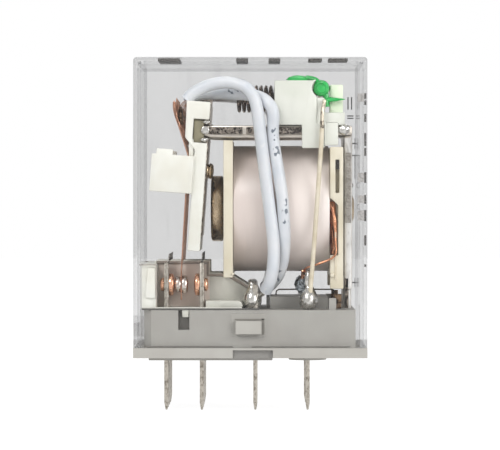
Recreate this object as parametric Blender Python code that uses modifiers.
"""Plug-in relay, four changeover poles, clear snap-on cover, coil with indicator lamp.

Blender 4.5, metres, +Z up.  The origin is at the middle of the seating plane, the
underside of the base pads.  +X runs from the contacts to the coil pins, and the
relay is mirrored about Y = 0 apart from its indicator lamp.

All sizes and places below are written in millimetres.  The helpers turn them into
metres, so every object comes out at its real size.
"""
import math

import bmesh
import bpy
from mathutils import Matrix, Vector

MM = 0.001                    # one millimetre in metres
FIT = 0.05                    # gap between pieces that touch on the real relay

# ---------------------------------------------------------------- driving dimensions
COVER_LENGTH = 28.0           # X
COVER_WIDTH = 21.5            # Y
COVER_TOP = 36.35             # Z
COVER_WALL = 0.85
COVER_ROUND = 0.4

PAD_HEIGHT = 0.35             # feet under the base
FLANGE_TOP = 1.55
BASE_TOP = 6.05
BLOCK_X = (-12.75, 12.6)
BLOCK_HALF_Y = 9.7
PLATEAU_TOP = 7.5
PLATEAU_X = (2.4, 9.35)
PLATEAU_HALF_Y = 4.9

PIN_ROWS = (-6.6, -2.2, 2.2, 6.6)     # Y of the four poles
COIL_ROWS = (-6.6, 6.6)
NC_X = -10.12                 # normally closed column
NO_X = -5.85                  # normally open column
COM_X = 0.6                   # common column
COIL_X = 6.9                  # coil column
PIN_TIP = -6.05
PIN_THICK = 0.5
PIN_WIDTH = 2.6

CONTACT_Z = 9.05
CONTACT_HEAD = 0.71           # height of a fixed contact's head
FIXED_R = 1.33
SHANK_R = 0.5
LEAF_X = -8.33                # moving spring at the contacts
LEAF_THICK = 0.15
LEAF_WIDTH = 1.8
LEFT_HEAD = 0.70
RIGHT_HEAD = 0.74

PIVOT = (-5.0, 0.0, 27.0)     # armature rocks on the lower edge of the yoke's nose
REST_TILT = 4.1               # degrees, foot of the armature away from the core
ARMATURE_THICK = 1.55
ARMATURE_HALF_Y = 6.9
CARD_HALF_Y = 7.7
RIVET_Y = 4.4                 # card rivets, from the middle plane
RIVET_DROP = -4.2             # and below the pivot
RIVET_R = 0.5
RIVET_HEAD_R = 0.95
BOX_HALF_Y = 8.2

COIL_Z = 18.2                 # height of the coil's axis
CORE_R = 2.4
POLE_R = 4.03
POLE_FACE = -4.85
WINDING_R = 7.48
TAPE_R = 7.7
FLANGE_LEFT = (-3.25, -2.1)
FLANGE_RIGHT = (9.6, 11.2)

YOKE_BOTTOM = 27.0
YOKE_TOP = 28.25
YOKE_HALF_Y = 7.0
YOKE_NOSE = -6.1
YOKE_END = -4.8
YOKE_LEG = (11.3, 12.3)

SPRING_Z = 31.68
SPRING_R = 1.5                # to the middle of the wire
SPRING_WIRE_R = 0.2
SPRING_X = (-1.7, 4.6)
SPRING_PITCH = 0.6
ANCHOR_X = (5.3, 5.9)

LEAD_R = 0.75                 # insulated contact leads
LAMP_LEAD_R = 0.28
WINDING_LEAD_R = 0.14


# ---------------------------------------------------------------- scene and materials
def clear_scene():
    for obj in list(bpy.data.objects):
        bpy.data.objects.remove(obj, do_unlink=True)


def make_collection(name):
    collection = bpy.data.collections.new(name)
    bpy.context.scene.collection.children.link(collection)
    return collection


def make_material(name, colour, roughness, metallic=0.0, alpha=1.0):
    material = bpy.data.materials.new(name)
    material.use_nodes = True
    shader = material.node_tree.nodes["Principled BSDF"]
    shader.inputs["Base Color"].default_value = (*colour, 1.0)
    shader.inputs["Roughness"].default_value = roughness
    shader.inputs["Metallic"].default_value = metallic
    shader.inputs["Alpha"].default_value = alpha
    material.diffuse_color = (*colour, alpha)
    return material


def metres(*values):
    return Vector([value * MM for value in values])


# ---------------------------------------------------------------- modelling helpers
def add_object(name, mesh, collection, material=None):
    obj = bpy.data.objects.new(name, mesh)
    collection.objects.link(obj)
    if material is not None:
        mesh.materials.append(material)
    return obj


def box_mesh(name, spans):
    """Mesh of separate boxes, each given as (x0, x1, y0, y1, z0, z1)."""
    shape = bmesh.new()
    for x0, x1, y0, y1, z0, z1 in spans:
        centre = metres((x0 + x1) / 2, (y0 + y1) / 2, (z0 + z1) / 2)
        size = metres(x1 - x0, y1 - y0, z1 - z0)
        place = Matrix.Translation(centre) @ Matrix.Diagonal((*size, 1.0))
        bmesh.ops.create_cube(shape, size=1.0, matrix=place)
    mesh = bpy.data.meshes.new(name)
    shape.to_mesh(mesh)
    shape.free()
    return mesh


def boxes(name, spans, collection, material=None):
    return add_object(name, box_mesh(name, spans), collection, material)


def plate(name, outline, y0, y1, collection, material=None):
    """Flat outline in the XZ plane, from Y = y0 to Y = y1, as one solid mesh."""
    curve = bpy.data.curves.new(name + "_outline", "CURVE")
    curve.dimensions = "2D"
    curve.fill_mode = "BOTH"
    curve.extrude = (y1 - y0) / 2 * MM
    spline = curve.splines.new("POLY")
    spline.points.add(len(outline) - 1)
    for point, (x, z) in zip(spline.points, outline):
        point.co = (x * MM, z * MM, 0.0, 1.0)
    spline.use_cyclic_u = True
    guide = bpy.data.objects.new(name + "_guide", curve)
    collection.objects.link(guide)
    guide.rotation_euler = (math.radians(90), 0.0, 0.0)
    guide.location = metres(0.0, (y0 + y1) / 2, 0.0)
    return solid_from_curve(name, guide, collection, material)


def solid_from_curve(name, guide, collection, material=None):
    """Mesh object with a curve object's shape and place.  The curve is removed."""
    bpy.context.view_layer.update()
    evaluated = guide.evaluated_get(bpy.context.evaluated_depsgraph_get())
    mesh = bpy.data.meshes.new_from_object(evaluated)
    mesh.name = name
    mesh.materials.clear()
    shape = bmesh.new()
    shape.from_mesh(mesh)
    bmesh.ops.remove_doubles(shape, verts=shape.verts, dist=0.0005 * MM)
    shape.to_mesh(mesh)
    shape.free()
    obj = add_object(name, mesh, collection, material)
    obj.matrix_world = guide.matrix_world.copy()
    bpy.data.objects.remove(guide, do_unlink=True)
    return obj


def turned(name, profile, segments, collection, material=None, closed=False):
    """Turned solid about Z.  The profile (radius, height) runs down its outer side."""
    mesh = bpy.data.meshes.new(name)
    points = [metres(radius, 0.0, height) for radius, height in profile]
    edges = [(i, i + 1) for i in range(len(points) - 1)]
    if closed:
        edges.append((len(points) - 1, 0))
    mesh.from_pydata(points, edges, [])
    obj = add_object(name, mesh, collection, material)
    screw = obj.modifiers.new("turn", "SCREW")
    screw.axis = "Z"
    screw.steps = segments
    screw.render_steps = segments
    screw.use_merge_vertices = True
    screw.merge_threshold = 0.0005 * MM
    screw.use_smooth_shade = True
    return obj


def point_along_x(obj, x, y, z):
    """Turn a piece made about Z so that its top points along +X."""
    obj.rotation_euler = (0.0, math.radians(90), 0.0)
    obj.location = metres(x, y, z)
    return obj


def smooth_route(route, steps):
    """Points on a smooth curve through the route's own points."""
    knots = [Vector(point) for point in route]
    knots = [2 * knots[0] - knots[1]] + knots + [2 * knots[-1] - knots[-2]]
    points = []
    for i in range(1, len(knots) - 2):
        before, start, end, after = knots[i - 1:i + 3]
        for step in range(steps):
            t = step / steps
            points.append(0.5 * (
                2 * start
                + (end - before) * t
                + (2 * before - 5 * start + 4 * end - after) * t ** 2
                + (3 * start - before - 3 * end + after) * t ** 3))
    points.append(knots[-2])
    return points


def wire(name, points, radius, collection, material, resolution=2):
    """Round wire along the points, as a capped curve."""
    curve = bpy.data.curves.new(name, "CURVE")
    curve.dimensions = "3D"
    curve.bevel_depth = radius * MM
    curve.bevel_resolution = resolution
    curve.use_fill_caps = True
    spline = curve.splines.new("POLY")
    spline.points.add(len(points) - 1)
    for point, place in zip(spline.points, points):
        point.co = (*metres(*place), 1.0)
    curve.materials.append(material)
    obj = bpy.data.objects.new(name, curve)
    collection.objects.link(obj)
    return obj


def as_guide(obj):
    obj.hide_render = True
    obj.display_type = "WIRE"
    return obj


def combine(obj, tool, operation):
    """Boolean with a guide object that stays in the guides collection."""
    as_guide(tool)
    modifier = obj.modifiers.new(tool.name, "BOOLEAN")
    modifier.operation = operation
    modifier.solver = "EXACT"
    modifier.object = tool


def round_edges(obj, width, segments=2):
    bevel = obj.modifiers.new("rounded edges", "BEVEL")
    bevel.width = width * MM
    bevel.segments = segments
    bevel.limit_method = "ANGLE"
    bevel.harden_normals = False
    return bevel


def cylinder(name, radius, length, segments, collection, place, along="Z"):
    """Closed cylinder centred on place, along X, Y or Z."""
    shape = bmesh.new()
    bmesh.ops.create_cone(
        shape, cap_ends=True, segments=segments, radius1=radius * MM,
        radius2=radius * MM, depth=length * MM)
    mesh = bpy.data.meshes.new(name)
    shape.to_mesh(mesh)
    shape.free()
    obj = add_object(name, mesh, collection)
    turns = {"X": (0.0, math.radians(90), 0.0), "Y": (math.radians(90), 0.0, 0.0)}
    obj.rotation_euler = turns.get(along, (0.0, 0.0, 0.0))
    obj.location = metres(*place)
    return obj


def hang_on(obj, parent):
    """Parent a piece whose place is already counted from its parent's origin."""
    obj.parent = parent
    return obj


# ---------------------------------------------------------------- base and cover
def make_base(parts, guides, material):
    half_x = COVER_LENGTH / 2
    half_y = COVER_WIDTH / 2
    base = boxes(
        "base", [(-half_x, half_x, -half_y, half_y, PAD_HEIGHT, FLANGE_TOP)],
        parts, material)
    chamfer = 1.4
    x0, x1 = BLOCK_X
    block = boxes(
        "base_block", [(x0, x1, -BLOCK_HALF_Y, BLOCK_HALF_Y, FLANGE_TOP - 0.4, BASE_TOP)],
        guides)
    combine(base, block, "UNION")
    px0, px1 = PLATEAU_X
    plateau = boxes(
        "base_plateau",
        [(px0, px1, -PLATEAU_HALF_Y, PLATEAU_HALF_Y, BASE_TOP - 1.0, PLATEAU_TOP)], guides)
    combine(base, plateau, "UNION")
    posts = boxes(
        "base_posts",
        [(9.45, 10.3, side - 0.6, side + 0.6, BASE_TOP - 1.0, 7.45) for side in (-8.6, 8.6)],
        guides)
    combine(base, posts, "UNION")
    pads = boxes("base_pads", [(-12.2, 2.65, -8.9, 8.9, 0.0, PAD_HEIGHT + 0.3)], guides)
    combine(base, pads, "UNION")
    for number, row in enumerate(COIL_ROWS, 1):
        boss = cylinder(
            f"base_boss_{number}", 2.27, PAD_HEIGHT + 0.3, 20, guides,
            (COIL_X, row, (PAD_HEIGHT + 0.3) / 2))
        combine(base, boss, "UNION")
    latches = []
    for side in (-1, 1):
        inner = side * (BLOCK_HALF_Y - 0.5)
        outer = side * (BLOCK_HALF_Y + 0.72)
        latches.append((-1.76, 1.35, min(inner, outer), max(inner, outer), 3.2, 4.78))
    combine(base, boxes("base_latches", latches, guides), "UNION")

    corners = boxes("base_corner_chamfers", [
        (-chamfer, chamfer, -chamfer, chamfer, -2.4, 2.4)], guides)
    corners.rotation_euler = (0.0, 0.0, math.radians(45))
    corners.location = metres(x0 - 0.55, -BLOCK_HALF_Y - 0.55, FLANGE_TOP + 2.42)
    combine(base, corners, "DIFFERENCE")

    slots = []
    for column, rows in ((NC_X, PIN_ROWS), (NO_X, PIN_ROWS), (COM_X, PIN_ROWS), (COIL_X, COIL_ROWS)):
        half = PIN_THICK / 2 + FIT
        for row in rows:
            width = PIN_WIDTH / 2 + FIT
            slots.append((column - half, column + half, row - width, row + width, -1.0, 9.0))
    combine(base, boxes("base_pin_slots", slots, guides), "DIFFERENCE")

    notches = []
    for side in (-1, 1):
        face = side * BLOCK_HALF_Y
        depth = face - side * 1.1
        notches.append((-8.64, -7.3, min(depth, face + side), max(depth, face + side), 3.7, 7.0))
        edge = side * half_y
        inner = edge - side * 0.45
        notches.append((-2.1, 2.7, min(inner, edge + side), max(inner, edge + side), 0.0, 1.3))
    combine(base, boxes("base_notches", notches, guides), "DIFFERENCE")
    foot = YOKE_LEG
    pocket = [(foot[0] - FIT, foot[1] + FIT, -2.55, 2.55, 4.0, 7.0)]
    combine(base, boxes("base_yoke_pocket", pocket, guides), "DIFFERENCE")
    return base


def rounded_block(name, span, radius, collection, material=None):
    """Box with its upright and top edges rounded, in triangles so that each face is flat."""
    block = boxes(name, [span], collection, material)
    half_height = (span[4] + span[5]) / 2 * MM
    shape = bmesh.new()
    shape.from_mesh(block.data)
    rounded = [edge for edge in shape.edges if max(v.co.z for v in edge.verts) > half_height]
    bmesh.ops.bevel(
        shape, geom=rounded, offset=radius * MM, segments=2, profile=0.5,
        affect="EDGES", clamp_overlap=True)
    bmesh.ops.triangulate(shape, faces=shape.faces)
    shape.to_mesh(block.data)
    shape.free()
    return block


def make_cover(parts, guides, material):
    """Open-bottomed clear shell with two latch windows."""
    half_x = COVER_LENGTH / 2
    half_y = COVER_WIDTH / 2
    foot = FLANGE_TOP + FIT
    inner_x = half_x - COVER_WALL
    inner_y = half_y - COVER_WALL
    cover = rounded_block(
        "cover", (-half_x, half_x, -half_y, half_y, foot, COVER_TOP), COVER_ROUND, parts, material)
    hollow = rounded_block(
        "cover_hollow", (-inner_x, inner_x, -inner_y, inner_y, foot - 1.0, COVER_TOP - COVER_WALL),
        COVER_ROUND, guides)
    combine(cover, hollow, "DIFFERENCE")
    windows = []
    for side in (-1, 1):
        near = side * (half_y - 1.6)
        far = side * (half_y + 1.0)
        windows.append((-2.25, 1.82, min(near, far), max(near, far), 2.97, 5.65))
    combine(cover, boxes("cover_windows", windows, guides), "DIFFERENCE")
    return cover


def make_barrier(parts, guides, material):
    """White comb that stands between the poles, with its end wall and floor."""
    wall = boxes("contact_barrier", [(-13.0, -11.25, -9.3, 9.3, BASE_TOP + FIT, 11.5)], parts, material)
    floor = boxes(
        "barrier_floor", [(-11.6, -3.6, -9.3, 9.3, BASE_TOP + FIT, BASE_TOP + 0.27)], guides)
    combine(wall, floor, "UNION")
    foot = BASE_TOP + FIT
    outline = [(-11.6, foot), (0.15, foot), (0.15, 8.6), (-2.0, 9.7), (-3.5, 9.7),
               (-3.5, 10.4), (-4.9, 10.4), (-4.9, 11.9), (-11.6, 11.9)]
    for number, y in enumerate((-4.4, 0.0, 4.4), 1):
        fin = plate(f"barrier_fin_{number}", outline, y - 0.3, y + 0.3, guides)
        combine(wall, fin, "UNION")
    slots = []
    for column in (NC_X, NO_X):
        for row in PIN_ROWS:
            slots.append((
                column - PIN_THICK / 2 - FIT, column + PIN_THICK / 2 + FIT,
                row - PIN_WIDTH / 2 - FIT, row + PIN_WIDTH / 2 + FIT, 5.0, 8.0))
    combine(wall, boxes("barrier_slots", slots, guides), "DIFFERENCE")
    return wall


# ---------------------------------------------------------------- terminals and contacts
def blade_mesh(name, stations):
    """Flat terminal grown upwards from its tip.

    Each station is (height, sideways shift, half thickness, half width).
    """
    shape = bmesh.new()
    bmesh.ops.create_cube(shape, size=1.0)
    bottom = [v for v in shape.verts if v.co.z < 0]
    top = [v for v in shape.verts if v.co.z > 0]
    place_section(bottom, stations[0])
    place_section(top, stations[1])
    for station in stations[2:]:
        lid = max(shape.faces, key=lambda face: face.calc_center_median().z)
        grown = bmesh.ops.extrude_face_region(shape, geom=[lid])
        bmesh.ops.delete(shape, geom=[lid], context="FACES_ONLY")
        place_section([g for g in grown["geom"] if isinstance(g, bmesh.types.BMVert)], station)
    mesh = bpy.data.meshes.new(name)
    bmesh.ops.recalc_face_normals(shape, faces=shape.faces)
    shape.to_mesh(mesh)
    shape.free()
    return mesh


def place_section(verts, station):
    height, shift, thick, width = station
    middle = sum((v.co for v in verts), Vector()) / len(verts)
    for vert in verts:
        side_x = math.copysign(1.0, vert.co.x - middle.x)
        side_y = math.copysign(1.0, vert.co.y - middle.y)
        vert.co = metres(shift + side_x * thick, side_y * width, height)


def terminal_stations(top, tip_shift=None):
    """Stations of a blade.  A contact blade ends in a thin sheared tip, shifted aside."""
    thick = PIN_THICK / 2
    width = PIN_WIDTH / 2
    stations = [
        (PIN_TIP, 0.0, thick * 0.45, width * 0.38),
        (PIN_TIP + 0.9, 0.0, thick, width * 0.82),
        (PIN_TIP + 1.5, 0.0, thick, width),
        (top, 0.0, thick, width),
    ]
    if tip_shift is not None:
        stations += [
            (top + 0.15, tip_shift * 0.3, thick * 0.6, width * 0.7),
            (top + 0.6, tip_shift * 0.75, thick * 0.5, width * 0.6),
            (top + 1.15, tip_shift, thick * 0.45, width * 0.55),
        ]
    return stations


def make_terminals(parts, guides, material):
    """Fourteen plug blades.  The contact blades have a hole for their rivet."""
    kinds = (
        ("nc_terminal", NC_X, PIN_ROWS, terminal_stations(11.6, tip_shift=0.6), True),
        ("no_terminal", NO_X, PIN_ROWS, terminal_stations(11.7, tip_shift=0.1), True),
        ("com_terminal", COM_X, PIN_ROWS, terminal_stations(9.05), False),
        ("coil_terminal", COIL_X, COIL_ROWS, terminal_stations(10.4), False),
    )
    for name, column, rows, stations, riveted in kinds:
        for number, row in enumerate(rows, 1):
            mesh = blade_mesh(f"{name}_{number}", stations)
            terminal = add_object(f"{name}_{number}", mesh, parts, material)
            terminal.location = metres(column, row, 0.0)
            if riveted:
                hole = cylinder(
                    f"{name}_hole_{number}", SHANK_R + FIT, 2.0, 12, guides,
                    (column, row, CONTACT_Z), along="X")
                combine(terminal, hole, "DIFFERENCE")


def fixed_contact_profile():
    """Rivet about its own axis: domed head up, shank through the blade, tail below."""
    blade = PIN_THICK
    head = CONTACT_HEAD
    return [
        (0.0, head), (FIXED_R * 0.62, head), (FIXED_R * 0.92, head * 0.78),
        (FIXED_R, head * 0.4), (FIXED_R, FIT), (SHANK_R, FIT),
        (SHANK_R, -blade - FIT), (0.82, -blade - FIT), (0.76, -blade - 0.42),
        (0.0, -blade - 0.5)]


def make_fixed_contacts(parts, material):
    """Copper-faced rivets: the closed row looks along +X, the open row along -X."""
    for number, row in enumerate(PIN_ROWS, 1):
        closed = turned(f"nc_contact_{number}", fixed_contact_profile(), 16, parts, material)
        point_along_x(closed, NC_X + PIN_THICK / 2, row, CONTACT_Z)
        opened = turned(f"no_contact_{number}", fixed_contact_profile(), 16, parts, material)
        opened.rotation_euler = (0.0, math.radians(-90), 0.0)
        opened.location = metres(NO_X - PIN_THICK / 2, row, CONTACT_Z)


def make_moving_contacts(parts, material):
    """Silver rivets with a head on both sides of the spring."""
    half = LEAF_THICK / 2 + 0.02
    shank = 0.42
    right = half + RIGHT_HEAD
    left = -half - LEFT_HEAD
    profile = [
        (0.0, right), (0.62, right), (0.94, right - 0.2), (1.05, half + 0.2), (1.0, half),
        (shank, half), (shank, -half), (0.86, -half), (0.93, -half - 0.2),
        (0.84, left + 0.16), (0.58, left), (0.0, left)]
    for number, row in enumerate(PIN_ROWS, 1):
        contact = turned(f"moving_contact_{number}", profile, 16, parts, material)
        point_along_x(contact, LEAF_X, row, CONTACT_Z)


def make_moving_springs(parts, guides, material):
    """Copper leaves, clamped in the card's box and free below it."""
    route = [
        (-9.28, 31.1), (-9.2, 29.9), (-8.55, 27.9), (-7.6, 24.9), (-7.55, 24.2),
        (-7.78, 20.2), (-8.05, 15.5), (-8.27, 11.6), (LEAF_X, 10.5), (LEAF_X, 7.2)]
    for number, row in enumerate(PIN_ROWS, 1):
        mesh = bpy.data.meshes.new(f"moving_spring_{number}")
        edge = [metres(x, -LEAF_WIDTH / 2, z) for x, z in route]
        mesh.from_pydata(edge, [(i, i + 1) for i in range(len(edge) - 1)], [])
        shape = bmesh.new()
        shape.from_mesh(mesh)
        grown = bmesh.ops.extrude_edge_only(shape, edges=shape.edges)
        moved = [g for g in grown["geom"] if isinstance(g, bmesh.types.BMVert)]
        bmesh.ops.translate(shape, verts=moved, vec=metres(0.0, LEAF_WIDTH, 0.0))
        bmesh.ops.recalc_face_normals(shape, faces=shape.faces)
        shape.to_mesh(mesh)
        shape.free()
        spring = add_object(f"moving_spring_{number}", mesh, parts, material)
        spring.location = metres(0.0, row, 0.0)
        sheet = spring.modifiers.new("sheet", "SOLIDIFY")
        sheet.thickness = LEAF_THICK * MM
        sheet.offset = 0.0
        hole = cylinder(
            f"spring_hole_{number}", 0.42 + FIT, 1.0, 12, guides,
            (LEAF_X, row, CONTACT_Z), along="X")
        combine(spring, hole, "DIFFERENCE")


# ---------------------------------------------------------------- magnet system
def make_core(parts, material):
    """Pole disc, rod and riveted tail in one turned piece, along +X."""
    tail = YOKE_LEG[1] - POLE_FACE
    leg = YOKE_LEG[0] - POLE_FACE
    profile = [
        (0.0, tail + 0.45), (1.3, tail + 0.35), (1.75, tail + FIT), (1.4, tail + FIT),
        (1.4, leg - FIT), (CORE_R, leg - FIT), (CORE_R, 1.5), (POLE_R - 0.3, 1.5),
        (POLE_R, 1.25), (POLE_R, 0.35), (POLE_R - 0.25, 0.06), (POLE_R - 0.6, 0.0), (0.0, 0.0)]
    core = turned("core", profile, 28, parts, material)
    return point_along_x(core, POLE_FACE, 0.0, COIL_Z)


def make_bobbin(parts, guides, material):
    lx0, lx1 = FLANGE_LEFT
    rx0, rx1 = FLANGE_RIGHT
    left = boxes("bobbin", [(lx0, lx1, -7.75, 7.75, 9.9, 26.45)], parts, material)
    right = boxes("bobbin_right_flange", [(rx0, rx1, -7.75, 7.75, 8.55, 25.65)], guides)
    combine(left, right, "UNION")
    tube = cylinder(
        "bobbin_tube", 3.15, rx1 - lx0 - 0.4, 24, guides, ((lx0 + rx1) / 2, 0.0, COIL_Z), along="X")
    combine(left, tube, "UNION")
    bore = cylinder("bobbin_bore", CORE_R + FIT, 20.0, 28, guides, (4.0, 0.0, COIL_Z), along="X")
    combine(left, bore, "DIFFERENCE")
    lead_opening = [(9.4, 19.4), (9.77, 19.4), (10.56, 18.6), (10.56, 12.6), (9.4, 12.6)]
    slots = []
    for side in (-1, 1):
        deep = side * 6.3
        out = side * 9.0
        low, high = min(deep, out), max(deep, out)
        slots.append((10.25, 10.72, low, high, 20.1, 24.1))
        opening = plate(f"bobbin_opening_{(side + 3) // 2}", lead_opening, low, high, guides)
        combine(left, opening, "DIFFERENCE")
    combine(left, boxes("bobbin_slots", slots, guides), "DIFFERENCE")
    foot = boxes("bobbin_foot_relief", [(rx0 - 1.0, rx1 + 1.0, -6.9, 6.9, 7.0, 10.0)], guides)
    combine(left, foot, "DIFFERENCE")
    return left


def make_winding(parts, copper, tape_material):
    length = FLANGE_RIGHT[0] - FLANGE_LEFT[1] - 2 * FIT
    start = FLANGE_LEFT[1] + FIT
    inner = 3.15 + FIT

    def ring(name, r0, r1, material):
        profile = [(r0, length), (r1, length), (r1, 0.0), (r0, 0.0)]
        piece = turned(name, profile, 36, parts, material, closed=True)
        return point_along_x(piece, start, 0.0, COIL_Z)

    ring("coil_winding", inner, WINDING_R, copper)
    ring("coil_tape", WINDING_R + FIT, TAPE_R, tape_material)


def make_yoke(parts, guides, material):
    """Bent steel frame: top bar with two nose lugs, rear leg, spring anchor."""
    leg0, leg1 = YOKE_LEG
    yoke = boxes(
        "yoke", [(YOKE_END, leg1, -YOKE_HALF_Y, YOKE_HALF_Y, YOKE_BOTTOM, YOKE_TOP)],
        parts, material)
    noses = [
        (YOKE_NOSE, YOKE_END + 1.0, *sorted((side * 5.3, side * YOKE_HALF_Y)),
         YOKE_BOTTOM, YOKE_TOP) for side in (-1, 1)]
    combine(yoke, boxes("yoke_noses", noses, guides), "UNION")
    leg = boxes("yoke_leg", [(leg0, leg1, -6.6, 6.6, 8.4, YOKE_BOTTOM + 0.6)], guides)
    combine(yoke, leg, "UNION")
    foot = boxes("yoke_foot", [(leg0, leg1, -2.5, 2.5, 4.6, 9.0)], guides)
    combine(yoke, foot, "UNION")
    a0, a1 = ANCHOR_X
    anchor = boxes("yoke_anchor", [(a0, a1, -0.9, 0.9, YOKE_TOP - 0.6, SPRING_Z + 0.8)], guides)
    combine(yoke, anchor, "UNION")
    eye = cylinder(
        "yoke_anchor_eye", SPRING_WIRE_R + 0.1, 3.0, 12, guides,
        ((a0 + a1) / 2, 0.0, SPRING_Z), along="X")
    combine(yoke, eye, "DIFFERENCE")
    rivet = cylinder(
        "yoke_core_hole", 1.4 + FIT, 4.0, 28, guides, (leg0, 0.0, COIL_Z), along="X")
    combine(yoke, rivet, "DIFFERENCE")
    return yoke


# ---------------------------------------------------------------- armature and card
def make_pivot(collection):
    """Empty on the hinge line.  The armature's pieces are upright in its frame."""
    pivot = bpy.data.objects.new("armature_pivot", None)
    collection.objects.link(pivot)
    pivot.location = metres(*PIVOT)
    pivot.rotation_euler = (0.0, math.radians(REST_TILT), 0.0)
    return pivot


def make_armature_plate(parts, guides, pivot, material):
    thick = ARMATURE_THICK
    half_y = ARMATURE_HALF_Y
    armature = boxes("armature_plate", [(-thick, 0.0, -half_y, half_y, -12.25, 3.95)], parts, material)
    tongue = boxes("armature_tongue", [(-thick, 0.0, -1.3, 1.3, 3.0, 5.5)], guides)
    pad = boxes("armature_hinge_pad", [(-1.92, -thick + 0.5, -7.2, 7.2, -0.88, 1.88)], guides)
    combine(armature, tongue, "UNION")
    combine(armature, pad, "UNION")
    grooves = [
        (-1.3, 0.5, *sorted((side * 5.1, side * 8.0)), -0.27, 1.52) for side in (-1, 1)]
    combine(armature, boxes("armature_grooves", grooves, guides), "DIFFERENCE")
    eye_z = SPRING_Z - PIVOT[2]
    eye = cylinder("armature_eye", SPRING_WIRE_R + 0.14, 4.0, 12, guides, (-0.8, 0.0, eye_z), along="X")
    eye.rotation_euler = (0.0, math.radians(90 - REST_TILT), 0.0)
    combine(armature, eye, "DIFFERENCE")
    holes = rivet_holes("armature_rivet_hole", guides)
    for hole in holes:
        combine(armature, hole, "DIFFERENCE")
    for piece in (armature, eye, *holes, guides.objects["armature_tongue"],
                  guides.objects["armature_hinge_pad"], guides.objects["armature_grooves"]):
        hang_on(piece, pivot)
    return armature


def make_card(parts, guides, pivot, material):
    """White moulding on the armature that carries the four contact springs."""
    back = -ARMATURE_THICK - FIT
    web = [(-2.95, 4.05), (back, 4.05), (back, 1.93), (-1.97, 1.93), (-1.97, -0.93),
           (back, -0.93), (back, -1.75), (-2.85, -0.4)]
    card = plate("card", web, -CARD_HALF_Y, CARD_HALF_Y, parts, material)
    cheek = [(-2.95, 4.05), (-0.08, 4.05), (-0.08, 1.93), (-1.97, 1.93), (-1.97, -0.93),
             (-0.12, -0.93), (-0.12, -14.0), (-1.6, -14.0), (-1.6, -1.8), (-2.85, -0.4)]
    inner = ARMATURE_HALF_Y + FIT
    tools = []
    for number, side in enumerate((-1, 1), 1):
        low, high = sorted((side * inner, side * CARD_HALF_Y))
        tools.append((plate(f"card_cheek_{number}", cheek, low, high, guides), "UNION"))
    carrier = boxes("card_box", [(-6.7, back, -BOX_HALF_Y, BOX_HALF_Y, -7.15, -2.6)], guides)
    tools.append((carrier, "UNION"))
    ribs = boxes(
        "card_box_arms",
        [(-2.4, -0.6, *sorted((side * inner, side * CARD_HALF_Y)), -7.1, -2.65) for side in (-1, 1)],
        guides)
    tools.append((ribs, "UNION"))
    tabs = boxes(
        "card_tabs",
        [(-6.15, -4.15, *sorted((side * 6.2, side * BOX_HALF_Y)), -3.0, -1.95) for side in (-1, 1)],
        guides)
    tools.append((tabs, "UNION"))
    crossbar = boxes("card_crossbar", [(-1.6, -0.12, -7.3, 7.3, -14.0, -12.35)], guides)
    tools.append((crossbar, "UNION"))
    slots = boxes(
        "card_slots",
        [(-2.95, -1.95, row - 0.98, row + 0.98, -8.0, -2.0) for row in PIN_ROWS], guides)
    tools.append((slots, "DIFFERENCE"))
    tools += [(hole, "DIFFERENCE") for hole in rivet_holes("card_rivet_hole", guides)]
    for tool, operation in tools:
        combine(card, tool, operation)
        hang_on(tool, pivot)
    return hang_on(card, pivot)


def rivet_holes(name, guides):
    """Cutters for the two rivets, counted from the pivot."""
    return [
        cylinder(f"{name}_{number}", RIVET_R + FIT, 5.6, 12, guides, (-1.0, y, RIVET_DROP), along="X")
        for number, y in enumerate((-RIVET_Y, RIVET_Y), 1)]


def make_armature_rivets(parts, pivot, material):
    """Rivets that fasten the card to the armature, heads on the pole side."""
    back = ARMATURE_THICK + 1.2
    head = 0.55
    profile = [
        (0.0, head), (RIVET_HEAD_R * 0.75, head), (RIVET_HEAD_R, head - 0.2),
        (RIVET_HEAD_R, FIT), (RIVET_R, FIT), (RIVET_R, -back), (0.0, -back)]
    for number, y in enumerate((-RIVET_Y, RIVET_Y), 1):
        rivet = turned(f"armature_rivet_{number}", profile, 14, parts, material)
        point_along_x(rivet, 0.0, y, RIVET_DROP)
        hang_on(rivet, pivot)


def make_return_spring(parts, material):
    """Extension spring from the armature's tongue to the yoke's anchor."""
    x0, x1 = SPRING_X
    turns = (x1 - x0) / SPRING_PITCH
    per_turn = 10
    count = int(turns * per_turn)
    points = [(-6.9, 0.0, SPRING_Z), (-4.0, 0.0, SPRING_Z), (-2.2, 0.0, SPRING_Z), (-1.95, 0.0, SPRING_Z + 0.9)]
    for i in range(count + 1):
        angle = 2 * math.pi * i / per_turn
        points.append((
            x0 + (x1 - x0) * i / count,
            SPRING_R * math.sin(angle),
            SPRING_Z + SPRING_R * math.cos(angle)))
    points += [(x1 + 0.3, 0.0, SPRING_Z + 0.4), (x1 + 0.55, 0.0, SPRING_Z), (6.5, 0.0, SPRING_Z)]
    return wire("return_spring", points, SPRING_WIRE_R, parts, material, resolution=1)


# ---------------------------------------------------------------- leads and lamp
def mirrored(route):
    return [(x, -y, z) for x, y, z in route]


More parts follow.
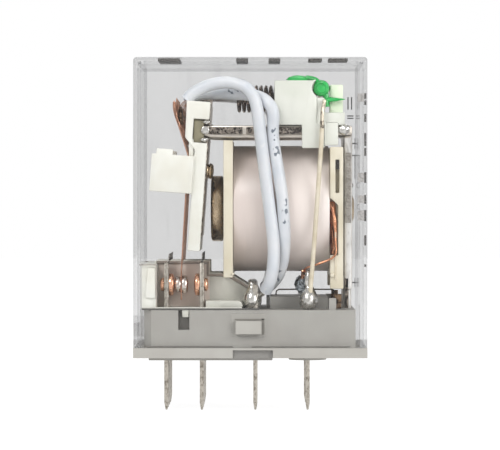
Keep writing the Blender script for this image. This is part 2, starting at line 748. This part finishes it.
OUTER_LEAD = [
    (-8.25, -6.6, 31.85), (-7.4, -6.65, 32.4), (-6.3, -6.8, 32.85), (-4.9, -7.15, 33.25),
    (-2.8, -7.8, 33.4), (-0.9, -8.55, 32.95), (0.2, -8.95, 31.9), (0.8, -9.0, 30.3),
    (1.28, -9.0, 26.5), (2.0, -8.75, 20.6), (2.75, -8.9, 14.55), (2.75, -8.9, 11.5),
    (2.4, -8.5, 9.6), (1.85, -7.6, 8.3)]
INNER_LEAD = [
    (-8.25, -2.2, 31.9), (-7.2, -2.5, 32.35), (-5.8, -3.3, 32.3), (-3.9, -4.6, 32.2),
    (-2.0, -5.8, 32.1), (-0.4, -6.7, 32.0), (1.0, -7.2, 31.7), (2.05, -8.25, 31.0),
    (2.75, -8.65, 29.7), (2.75, -8.3, 26.6), (3.7, -8.6, 20.6), (3.98, -8.6, 17.6), (4.1, -8.1, 14.6),
    (3.95, -7.2, 12.2), (3.4, -6.1, 10.3), (2.6, -4.3, 9.1), (1.8, -2.9, 8.5)]


def make_contact_leads(parts, material):
    """Insulated leads from the springs' tops to the common terminals."""
    routes = (OUTER_LEAD, INNER_LEAD, mirrored(INNER_LEAD), mirrored(OUTER_LEAD))
    for number, route in enumerate(routes, 1):
        wire(f"contact_lead_{number}", smooth_route(route, 2), LEAD_R, parts, material)


def make_lamp(parts, guides, holder_material, lens_material, resistor_material, lead_material):
    holder = boxes("lamp_holder", [(2.9, 8.0, -7.75, -2.4, YOKE_TOP + FIT, 33.67)], parts, holder_material)
    tools = [
        (boxes("lamp_holder_post", [(7.8, 8.95, -7.4, -2.4, YOKE_TOP + FIT, 31.6)], guides), "UNION"),
        (boxes("lamp_holder_leg", [(6.2, 8.95, -7.75, -YOKE_HALF_Y - FIT, 25.5, 28.5)], guides), "UNION"),
        (boxes("lamp_holder_block", [(8.8, 11.4, -7.4, -2.4, YOKE_TOP + FIT, 29.8)], guides), "UNION"),
        (boxes("lamp_holder_skirt", [(8.8, 10.6, -7.6, -YOKE_HALF_Y - FIT, 25.85, 28.6)], guides), "UNION"),
        (boxes("lamp_holder_fin", [(9.6, 11.2, -6.5, -3.2, 29.5, 33.2)], guides), "UNION"),
        (cylinder("lamp_holder_groove", 1.0, 4.8, 20, guides, (5.8, -6.0, 33.42), along="X"), "DIFFERENCE"),
        (cylinder("lamp_holder_seat", 1.06 + FIT, 4.0, 20, guides, (8.55, -6.2, 32.75), along="Y"), "DIFFERENCE"),
    ]
    for tool, operation in tools:
        combine(holder, tool, operation)

    lens = [(0.0, 1.25), (0.55, 1.1), (0.9, 0.7), (1.0, 0.2), (1.0, -1.0), (0.0, -1.0)]
    lamp = turned("lamp", lens, 20, parts, lens_material)
    lamp.rotation_euler = (math.radians(90), 0.0, 0.0)
    lamp.location = metres(8.55, -6.6, 32.75)

    body = [(0.0, 1.7), (0.3, 1.6), (0.72, 0.95), (0.9, 0.2), (0.92, -0.5), (0.75, -1.15),
            (0.35, -1.55), (0.0, -1.6)]
    resistor = turned("lamp_resistor", body, 16, parts, resistor_material)
    point_along_x(resistor, 5.85, -6.0, 33.42)

    near = [(8.95, -7.8, 31.3), (8.85, -7.95, 30.7), (8.65, -8.25, 29.6), (8.55, -8.3, 26.5),
            (8.1, -8.35, 20.0), (7.6, -8.3, 13.0), (7.3, -8.25, 9.4), (7.2, -8.25, 8.0)]
    far = [(8.55, -5.4, 32.75), (8.55, -4.0, 32.8), (8.55, 0.0, 33.0), (8.55, 4.6, 32.9),
           (8.6, 7.4, 31.8), (8.6, 8.25, 29.6), (8.55, 8.3, 26.5),
           (8.1, 8.35, 20.0), (7.6, 8.3, 13.0), (7.3, 8.25, 9.4), (7.2, 8.25, 8.0)]
    wire("lamp_lead_1", smooth_route(near, 2), LAMP_LEAD_R, parts, lead_material, resolution=1)
    wire("lamp_lead_2", smooth_route(far, 2), LAMP_LEAD_R, parts, lead_material, resolution=1)


def make_winding_leads(parts, material):
    """Ends of the coil's wire, from the right flange to the coil terminals."""
    near = [(9.95, -7.2, 18.4), (10.1, -7.5, 16.8), (10.25, -7.75, 14.6), (10.2, -7.98, 12.6),
            (8.6, -8.0, 11.7), (7.4, -7.6, 11.3), (6.6, -6.9, 10.9), (6.42, -6.3, 10.1),
            (6.4, -6.3, 9.2)]
    for number, route in enumerate((near, mirrored(near)), 1):
        wire(f"winding_lead_{number}", smooth_route(route, 1), WINDING_LEAD_R, parts, material, resolution=1)


# ---------------------------------------------------------------- assembly
def main():
    clear_scene()
    parts = make_collection("plug_in_relay")
    guides = make_collection("guides")

    grey = make_material("grey_base_plastic", (0.42, 0.41, 0.39), 0.5)
    clear = make_material("clear_cover_plastic", (0.85, 0.85, 0.84), 0.05, alpha=0.3)
    white = make_material("white_moulding", (0.88, 0.85, 0.8), 0.45)
    cream = make_material("cream_bobbin", (0.8, 0.73, 0.6), 0.5)
    tin = make_material("tinned_brass", (0.55, 0.54, 0.52), 0.35, metallic=1.0)
    copper = make_material("copper_alloy", (0.72, 0.42, 0.3), 0.3, metallic=1.0)
    silver = make_material("silver_contact", (0.75, 0.74, 0.72), 0.25, metallic=1.0)
    steel = make_material("nickel_plated_steel", (0.45, 0.42, 0.38), 0.35, metallic=1.0)
    bronze = make_material("dark_pole_steel", (0.2, 0.15, 0.11), 0.3, metallic=1.0)
    spring_steel = make_material("spring_steel", (0.12, 0.1, 0.1), 0.35, metallic=1.0)
    enamel = make_material("enamelled_copper_wire", (0.5, 0.22, 0.12), 0.4)
    tape = make_material("satin_coil_tape", (0.75, 0.68, 0.64), 0.55)
    sleeve = make_material("white_lead_insulation", (0.72, 0.76, 0.8), 0.45)
    green = make_material("green_lens", (0.05, 0.5, 0.13), 0.2)

    make_base(parts, guides, grey)
    make_cover(parts, guides, clear)
    make_barrier(parts, guides, white)
    make_terminals(parts, guides, tin)
    make_fixed_contacts(parts, copper)
    make_moving_contacts(parts, silver)
    make_moving_springs(parts, guides, copper)
    make_core(parts, bronze)
    make_bobbin(parts, guides, cream)
    make_winding(parts, enamel, tape)
    make_yoke(parts, guides, steel)
    pivot = make_pivot(parts)
    make_armature_plate(parts, guides, pivot, steel)
    make_card(parts, guides, pivot, white)
    make_armature_rivets(parts, pivot, steel)
    make_return_spring(parts, spring_steel)
    make_contact_leads(parts, sleeve)
    make_lamp(parts, guides, white, green, green, cream)
    make_winding_leads(parts, enamel)


main()
